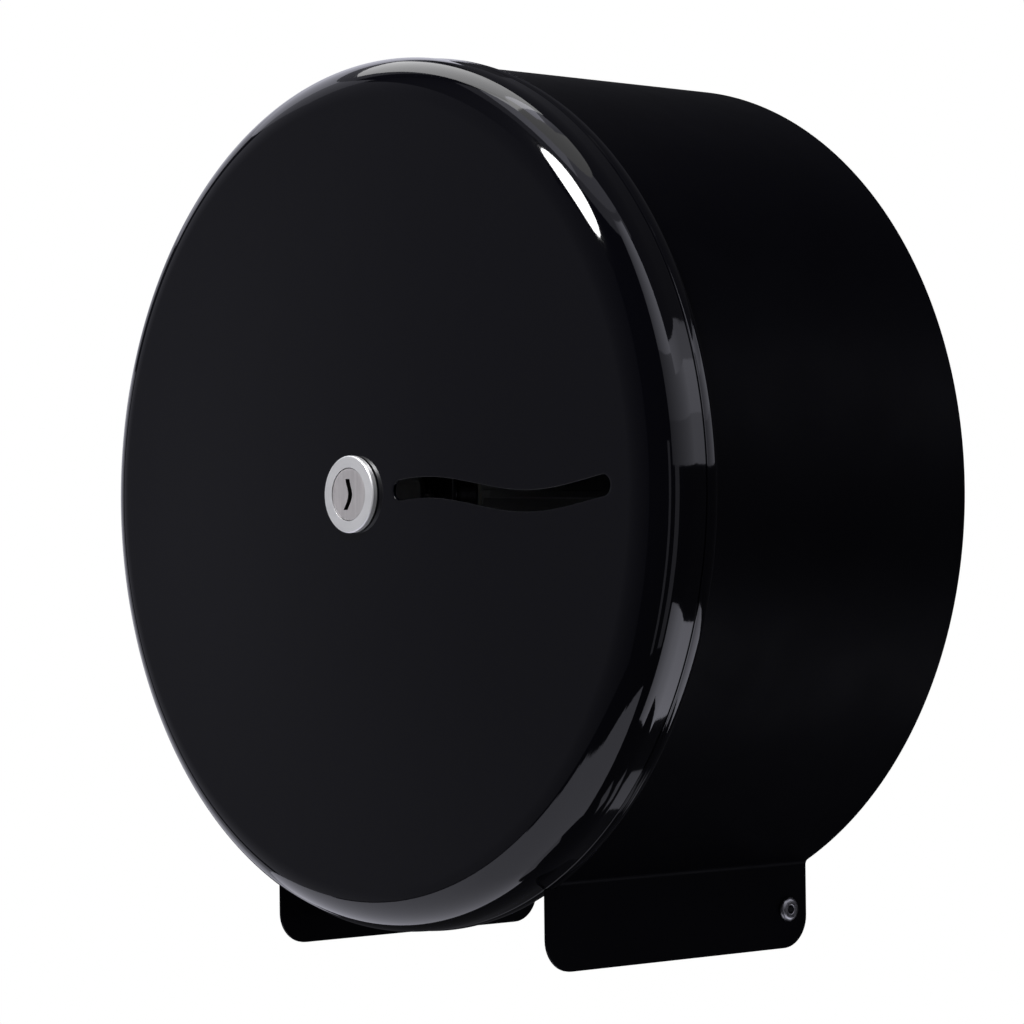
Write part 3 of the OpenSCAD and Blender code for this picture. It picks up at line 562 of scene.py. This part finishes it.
# Front cover: pressed dish with a rolled edge, a bead and a fine groove at the rim, slot and lock hole
cover = {
    "radius": 135, "sheet": 1, "face": 131.5, "edge": 13.5, "edgeSegments": 28, "rim": 109.5,
    "plain": 118, "steps": 360, "crown": 1.6, "crownGrid": 7,
    "groove": ((0, 4.49), (0.35, 4.33), (0.35, 3.98), (0, 3.82)),  # depth, distance in front of the rim
    "beadTop": 3.6,
    "bead": (0.724, 1.8, 1.85, 8),  # reach, distance in front of the rim, rounding, segments
    "hem": (0.25, 2),  # rounding, segments
    "slotStart": 19, "slotLength": 95, "slotWidth": 6.3, "slotSegments": 48, "slotCuts": 64, "slotEdge": 0.12,
    "waveHeight": 5.1, "waveLength": 94, "crest": 33, "waveDrop": 1.2,
    "holeRadius": 9.6, "holeSegments": 72, "ringWidth": 1.0,
}


# Height of the cover's faint crown at a distance from the axis, in mm
def crownAt(radius):
    return cover["crown"] * max(1 - (radius / cover["plain"]) ** 2, 0) ** 2


# Cuts the level face into a grid and lifts it into its crown
def crownFace(bm):
    reach = int(cover["plain"] / cover["crownGrid"])
    for normal in ((1, 0, 0), (0, 0, 1)):
        for line in range(-reach, reach + 1):
            level = [face for face in bm.faces if abs(face.normal.y) > 0.999
                     and max(vert.co.xz.length for vert in face.verts) < (cover["plain"] + 0.1) * mm]
            parts = {item for face in level for item in (face, *face.edges, *face.verts)}
            place = Vector(normal) * line * cover["crownGrid"] * mm
            bmesh.ops.bisect_plane(bm, geom=list(parts), plane_co=place, plane_no=normal, dist=1e-6)
    for vert in bm.verts:
        radius = vert.co.xz.length / mm
        if radius < cover["plain"]:
            vert.co.y -= crownAt(radius) * mm


def waveHeightAt(x):
    turned = 2 * math.pi * (x - cover["crest"]) / cover["waveLength"]
    return cover["waveHeight"] / 2 * math.cos(turned) - cover["waveDrop"]


def waveSlopeAt(x):
    turnRate = 2 * math.pi / cover["waveLength"]
    return -cover["waveHeight"] / 2 * math.sin(turnRate * (x - cover["crest"])) * turnRate


# Adds an outline to a piece and gives back its edges there
def addOutline(bm, outline):
    mesh = bpy.data.meshes.new("outline")
    outline.to_mesh(mesh)
    outline.free()
    for edge in bm.edges:
        edge.tag = True
    bm.from_mesh(mesh)
    bpy.data.meshes.remove(mesh)
    return [edge for edge in bm.edges if not edge.tag]


# The slot's outline: a circle pulled apart, cut into short edges and bent along the wave
def addSlotOutline(bm, out, wider):
    straight = cover["slotLength"] - cover["slotWidth"]
    segments, radius = cover["slotSegments"], cover["slotWidth"] / 2
    halfStep = Matrix.Rotation(math.radians(180 / segments), 4, "Z")
    outline = bmesh.new()
    bmesh.ops.create_circle(outline, segments=segments, radius=radius + wider, matrix=halfStep)
    for vert in outline.verts:
        if vert.co.x > 0:
            vert.co.x += straight
    longEdges = [edge for edge in outline.edges if edge.calc_length() > straight / 2]
    bmesh.ops.subdivide_edges(outline, edges=longEdges, cuts=cover["slotCuts"])
    for vert in outline.verts:
        along = min(max(vert.co.x, 0), straight)
        x = cover["slotStart"] + radius + along
        slope = waveSlopeAt(x)
        size = math.hypot(1, slope)
        past = vert.co.x - along
        side = vert.co.y
        vert.co = Vector(((x + (past - side * slope) / size) * mm, -out * mm,
                          (waveHeightAt(x) + (past * slope + side) / size) * mm))
    return addOutline(bm, outline)


def addHoleOutline(bm, out, wider):
    lay = Matrix.Translation((0, -out * mm, 0)) @ Matrix.Rotation(math.radians(90), 4, "X")
    outline = bmesh.new()
    radius = (cover["holeRadius"] + wider) * mm
    bmesh.ops.create_circle(outline, segments=cover["holeSegments"], radius=radius, matrix=lay)
    return addOutline(bm, outline)


def makeFrontCover():
    r, face, rim, sheet = cover["radius"], cover["face"], cover["rim"], cover["sheet"]
    beadReach, beadMiddle, *beadRounding = cover["bead"]
    section = [(cover["plain"], face), (r, face, cover["edge"], cover["edgeSegments"])]
    section += [(r - depth, rim + ahead) for depth, ahead in cover["groove"]]
    section += [
        (r, rim + cover["beadTop"]), (r + beadReach, rim + beadMiddle, *beadRounding),
        (r, rim, *cover["hem"]), (r - sheet, rim, *cover["hem"]),
        (r - sheet, face - sheet, cover["edge"] - sheet, cover["edgeSegments"]), (cover["plain"], face - sheet),
    ]
    bm = turnedShape(section, cover["steps"], openSide=len(section) - 1)
    sharpLoops = []
    walls = []
    for out in (face, face - sheet):
        rings = loopAt(bm, out, cover["plain"] - 1, cover["plain"] + 1)
        for addRing in (addSlotOutline, addHoleOutline):
            inner, outer = addRing(bm, out, 0), addRing(bm, out, cover["ringWidth"])
            bmesh.ops.bridge_loops(bm, edges=inner + outer)
            rings += outer
            walls.append(inner)
            if out == face:
                sharpLoops += inner
        bmesh.ops.triangle_fill(bm, use_beauty=True, use_dissolve=False, edges=rings)
    bmesh.ops.bridge_loops(bm, edges=walls[0] + walls[2])
    bmesh.ops.bridge_loops(bm, edges=walls[1] + walls[3])
    bmesh.ops.recalc_face_normals(bm, faces=bm.faces)
    bmesh.ops.bevel(bm, geom=sharpLoops, offset=cover["slotEdge"] * mm, offset_type="OFFSET", segments=3,
                    profile=0.5, affect="EDGES", material=-1)
    crownFace(bm)
    finishPiece("frontCover", bm, "front_cover", smoothAngle=40)


makeFrontCover()
print("front cover ready")


# Drum band: one sheet bent round the drum and down into the two cheeks, with five tabs in front
band = {
    "radius": 133.8, "sheet": 1, "back": 3, "middle": 50, "neckFront": 109.4, "front": 117,
    "bendX": 66.7, "bendZ": -118.29, "bendSteps": 8, "stepDegrees": 1.0,
    "cheekX": 64.7, "cheekTop": -118.86, "cheekLow": -144, "cheekFront": 113.7,
    "corner": 10, "cornerSegments": 12, "pivotOut": 11.4, "pivotZ": -131.8, "pivotHole": 2.45, "pivotSegments": 24,
    "tabAngles": (-130, -65, 0, 65, 130), "tabHalf": 3.6, "tabInner": 108, "edge": 0.18,
}


def spinEdges(bm, edges, centre, degrees, steps):
    verts = {vert for edge in edges for vert in edge.verts}
    result = bmesh.ops.spin(bm, geom=list(verts) + edges, cent=centre, axis=(0, 1, 0), dvec=(0, 0, 0),
                            angle=math.radians(degrees), steps=steps, use_merge=False, use_duplicate=False)
    return [item for item in result["geom_last"] if isinstance(item, bmesh.types.BMEdge)]


def edgeBetween(bm, x, z, low, high):
    ends = [bm.verts.new((x * mm, -out * mm, z * mm)) for out in (low, high)]
    return bm.edges.new(ends)


def addCheek(bm):
    b = band
    corners = [(b["back"], b["bendZ"]), (b["neckFront"], b["bendZ"]), (b["neckFront"], b["cheekTop"]),
               (b["cheekFront"], b["cheekTop"]), (b["cheekFront"], b["cheekLow"]), (b["back"], b["cheekLow"])]
    verts = [bm.verts.new((b["cheekX"] * mm, -out * mm, z * mm)) for out, z in corners]
    bm.faces.new(verts)
    lower = [vert for vert in verts if vert.co.z < (b["cheekLow"] + 1) * mm]
    bmesh.ops.bevel(bm, geom=lower, offset=b["corner"] * mm, offset_type="ABSOLUTE", segments=b["cornerSegments"],
                    profile=0.5, affect="VERTICES", material=-1)
    outline = bm.edges[:]
    bmesh.ops.delete(bm, geom=bm.faces[:], context="FACES_ONLY")
    place = Matrix.Translation((b["cheekX"] * mm, -b["pivotOut"] * mm, b["pivotZ"] * mm))
    lay = place @ Matrix.Rotation(math.radians(90), 4, "Y")
    hole = bmesh.ops.create_circle(bm, segments=b["pivotSegments"], radius=b["pivotHole"] * mm, matrix=lay)["verts"]
    outline += list({edge for vert in hole for edge in vert.link_edges})
    bmesh.ops.triangle_fill(bm, use_beauty=True, use_dissolve=False, edges=outline)


def makeDrumBand():
    b = band
    bm = bmesh.new()
    addCheek(bm)
    bendCentre = (b["bendX"] * mm, 0, b["bendZ"] * mm)
    neck = edgeBetween(bm, b["cheekX"], b["bendZ"], b["back"], b["neckFront"])
    touchAngle = math.degrees(math.atan2(b["bendX"], -b["bendZ"]))
    last = spinEdges(bm, [neck], bendCentre, 90 - touchAngle, b["bendSteps"])
    last = spinEdges(bm, last, (0, 0, 0), -b["stepDegrees"], 1)
    frontVert = min((vert for edge in last for vert in edge.verts), key=lambda vert: vert.co.y)
    tip = bm.verts.new((frontVert.co.x, -b["front"] * mm, frontVert.co.z))
    last.append(bm.edges.new((frontVert, tip)))
    halfTurn = 180 - touchAngle - b["stepDegrees"]
    spinEdges(bm, last, (0, 0, 0), -halfTurn, round(halfTurn / b["stepDegrees"]))
    bmesh.ops.bisect_plane(bm, geom=bm.verts[:] + bm.edges[:] + bm.faces[:], plane_co=(0, 0, 0), plane_no=(-1, 0, 0),
                           clear_outer=True, dist=1e-7)
    bmesh.ops.mirror(bm, geom=bm.verts[:] + bm.edges[:] + bm.faces[:], axis="X", merge_dist=1e-6)
    bmesh.ops.remove_doubles(bm, verts=bm.verts, dist=1e-6)
    for angle in b["tabAngles"]:
        axis = Vector((math.sin(math.radians(angle)), 0, math.cos(math.radians(angle))))
        across = Vector((math.cos(math.radians(angle)), 0, -math.sin(math.radians(angle))))
        root = []
        for edge in bm.edges:
            if edge.is_boundary and all(abs(vert.co.y + b["front"] * mm) < 1e-6 for vert in edge.verts):
                reach = [math.degrees(math.atan2(vert.co.dot(across), vert.co.dot(axis))) for vert in edge.verts]
                if max(abs(value) for value in reach) < b["tabHalf"]:
                    root.append(edge)
        for item in bmesh.ops.extrude_edge_only(bm, edges=root)["geom"]:
            if isinstance(item, bmesh.types.BMVert):
                item.co += axis * (b["tabInner"] * mm - item.co.dot(axis))
    bmesh.ops.recalc_face_normals(bm, faces=bm.faces)
    crest = Vector((0, -b["middle"] * mm, b["radius"] * mm))
    top = min(bm.faces, key=lambda face: (face.calc_center_median() - crest).length)
    if top.normal.z < 0:
        bmesh.ops.reverse_faces(bm, faces=bm.faces)
    finishPiece("drumBand", bm, "drum_band", edge=b["edge"], smoothAngle=30, thickness=b["sheet"])


makeDrumBand()
print("drum band ready")


# The lock as seen: gasket, bezel with its barrel, and the plug with its keyway
lock = {
    "bezelRadius": 11.9, "bezelFace": 135.3, "gasketOut": 133.45, "chamfer": 0.35, "bore": 8.2,
    "barrelRadius": 9.5, "barrelFlat": 8.7, "barrelEnd": 113.8, "gasketRadius": 11.75, "coverFace": 133.06,
    "plugRadius": 8.0, "plugFace": 135.05, "plugEnd": 113.4, "plugPlain": 7.2,
    "keyHeight": 9.5, "keyWidth": 2.0, "keySwing": 1.05, "keyTurn": 29.5, "keyLift": 0.6, "keyShift": -0.35,
    "keyLean": 0.16, "keyDepth": 14, "keySteps": 24, "tang": 7, "tangEnd": 111.6,
    "gasketSteps": 128, "bodySteps": 160, "plugSteps": 96,
}


# Presses the barrel's two flats behind a distance from the wall
def flatten(bm, limit, behind):
    for vert in bm.verts:
        if -vert.co.y < behind * mm:
            vert.co.x = min(max(vert.co.x, -limit * mm), limit * mm)


def makeLock():
    k = lock
    gasket = turnedShape([
        (k["barrelRadius"], k["coverFace"]), (k["gasketRadius"], k["coverFace"], 0.12, 2),
        (k["gasketRadius"], k["gasketOut"], 0.2, 3), (k["barrelRadius"], k["gasketOut"]),
    ], k["gasketSteps"])
    bmesh.ops.recalc_face_normals(gasket, faces=gasket.faces)
    finishPiece("lockGasket", gasket, "lock_gasket")

    inner = k["bezelRadius"] - k["chamfer"]
    body = turnedShape([
        (k["bore"], k["bezelFace"], 0.06, 2), (inner, k["bezelFace"], 0.1, 3),
        (k["bezelRadius"], k["bezelFace"] - k["chamfer"], 0.12, 3), (k["bezelRadius"], k["gasketOut"], 0.15, 3),
        (k["barrelRadius"], k["gasketOut"]), (k["barrelRadius"], k["barrelEnd"], 0.4, 2),
        (k["bore"], k["barrelEnd"], 0.2, 2),
    ], k["bodySteps"])
    flatten(body, k["barrelFlat"], k["gasketOut"] - 0.05)
    bmesh.ops.recalc_face_normals(body, faces=body.faces)
    finishPiece("lockBody", body, "lock_body", smoothAngle=24)

    plug = turnedShape([
        (k["plugPlain"], k["plugFace"]), (k["plugRadius"], k["plugFace"], 0.1, 2),
        (k["plugRadius"], k["plugEnd"]), (0, k["plugEnd"]), (0, k["plugFace"]),
    ], k["plugSteps"], openSide=4)
    middle = Vector((0, -k["plugFace"] * mm, 0))
    spare = [edge for edge in plug.edges if any((vert.co - middle).length < 1e-6 for vert in edge.verts)]
    bmesh.ops.delete(plug, geom=spare, context="EDGES")
    way = bmesh.ops.create_grid(plug, x_segments=1, y_segments=k["keySteps"], size=0.5)["verts"]
    for vert in way:
        z = vert.co.y * k["keyHeight"]
        swing = k["keySwing"] * math.cos(math.radians(k["keyTurn"] * (z + k["keyLift"])))
        x = vert.co.x * k["keyWidth"] + swing + k["keyShift"] + k["keyLean"] * z
        vert.co = Vector((x * mm, -k["plugFace"] * mm, z * mm))
    wayFaces = list({face for vert in way for face in vert.link_faces})
    wayRim = list({edge for face in wayFaces for edge in face.edges if edge.is_boundary})
    rim = loopAt(plug, k["plugFace"], k["plugPlain"] - 0.2, k["plugPlain"] + 0.2)
    made = bmesh.ops.extrude_face_region(plug, geom=wayFaces)["geom"]
    bottom = [item for item in made if isinstance(item, bmesh.types.BMVert)]
    bmesh.ops.translate(plug, verts=bottom, vec=(0, k["keyDepth"] * mm, 0))
    bmesh.ops.delete(plug, geom=[face for face in wayFaces if face.is_valid], context="FACES")
    edges = rim + [edge for edge in wayRim if edge.is_valid]
    bmesh.ops.triangle_fill(plug, use_beauty=True, use_dissolve=False, edges=edges)
    bmesh.ops.recalc_face_normals(plug, faces=plug.faces)
    tangLength = k["plugEnd"] - k["tangEnd"]
    place = Matrix.Translation((0, -(k["plugEnd"] - tangLength / 2) * mm, 0))
    size = Matrix.Diagonal((k["tang"] * mm, tangLength * mm, k["tang"] * mm, 1))
    bmesh.ops.create_cube(plug, size=1, matrix=place @ size)
    finishPiece("lockPlug", plug, "lock_plug", smoothAngle=30, finish="plug_face")


makeLock()
print("lock ready")


# Pivot rivets: a domed tubular head outside each cheek, set over inside the ear
rivet = {
    "out": 11.4, "z": -131.8, "bore": 1.3, "shank": 2.4, "collar": 3.5, "collarFrom": 57.8, "collarTo": 60.0,
    "head": 3.9, "headFrom": 64.9, "headTo": 66.28, "steps": 64,
    "dome": ((3.9, 0.2), (3.86, 0.42), (3.7, 0.75), (3.4, 1.05), (3.0, 1.25), (2.6, 1.34), (2.2, 1.37)),
}


def makeRivet(name, node, side):
    v = rivet
    dome = [(radius, v["headFrom"] + height) for radius, height in v["dome"]]
    section = [
        (v["bore"], v["collarFrom"], 0.3, 3), (v["collar"], v["collarFrom"], 0.7, 4), (v["collar"], v["collarTo"]),
        (v["shank"], v["collarTo"]), (v["shank"], v["headFrom"]), (v["head"], v["headFrom"]),
        *dome, (v["bore"], v["headTo"], 0.3, 4),
    ]
    bm = turnedShape(section, v["steps"])
    stand = Matrix.Translation((0, -v["out"] * mm, v["z"] * mm)) @ Matrix.Rotation(math.radians(90), 4, "Z")
    bmesh.ops.transform(bm, matrix=stand, verts=bm.verts)
    if side < 0:
        bmesh.ops.scale(bm, vec=(-1, 1, 1), verts=bm.verts)
    bmesh.ops.recalc_face_normals(bm, faces=bm.faces)
    finishPiece(name, bm, node, smoothAngle=40)


makeRivet("pivotRivetRight", "pivot_rivet_right", 1)
makeRivet("pivotRivetLeft", "pivot_rivet_left", -1)
print("rivets ready")

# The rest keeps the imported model's shape: a merged copy of each solid, its edges softened by this much
softened = {
    "back_plate": 0.25, "spindle_foot": 0.2, "foot_rivets": 0.1, "spindle_tube": 0.15, "nose_plug": 0.2,
    "keeper_hook": 0.2, "keeper_screw": 0.1, "hub_sleeve": 0.35, "rear_bush": 0.2, "front_bush": 0.2,
    "cover_studs": 0.15, "stud_nuts": 0.15, "stud_washers": 0.12, "lock_nut": 0.2, "lock_cam": 0.15,
    "cam_washer": 0.12, "cam_screw": 0.12, "lock_tooth_washer": 0.08, "thrust_washer": 0.2,
    "pivot_washers": 0.12, "retaining_ring": 0.12,
}
levelAngle = 0.3  # degrees: faces that meet at less than this become one
# The lock's nut and toothed washer follow the cover's crown
lifted = {"lock_nut": 1.56, "lock_tooth_washer": 1.56}
# The ears and the legs' outer edges lie a little further in, and the washers fill the gap
earShift = {"nodes": ("back_plate", "pivot_washers"), "from": 61, "to": 62.8, "below": -100, "by": 1.2}


def camel(node):
    first, *rest = node.split("_")
    return first + "".join(word.capitalize() for word in rest)


def moveEars(bm):
    for vert in bm.verts:
        if earShift["from"] < abs(vert.co.x) / mm < earShift["to"] and vert.co.z < earShift["below"] * mm:
            vert.co.x -= math.copysign(earShift["by"] * mm, vert.co.x)


def softenedCopy(node, width):
    bm = bmesh.new()
    bm.from_mesh(cadNodes[node].data)
    bmesh.ops.remove_doubles(bm, verts=bm.verts, dist=1e-6)
    bmesh.ops.translate(bm, verts=bm.verts, vec=(0, -lifted.get(node, 0) * mm, 0))
    if node in earShift["nodes"]:
        moveEars(bm)
    bmesh.ops.dissolve_limit(bm, angle_limit=math.radians(levelAngle), use_dissolve_boundaries=False,
                             verts=bm.verts, edges=bm.edges)
    finishPiece(camel(node), bm, node, edge=width, smoothAngle=30)


for node, width in softened.items():
    softenedCopy(node, width)
print("softened copies ready:", len(softened))
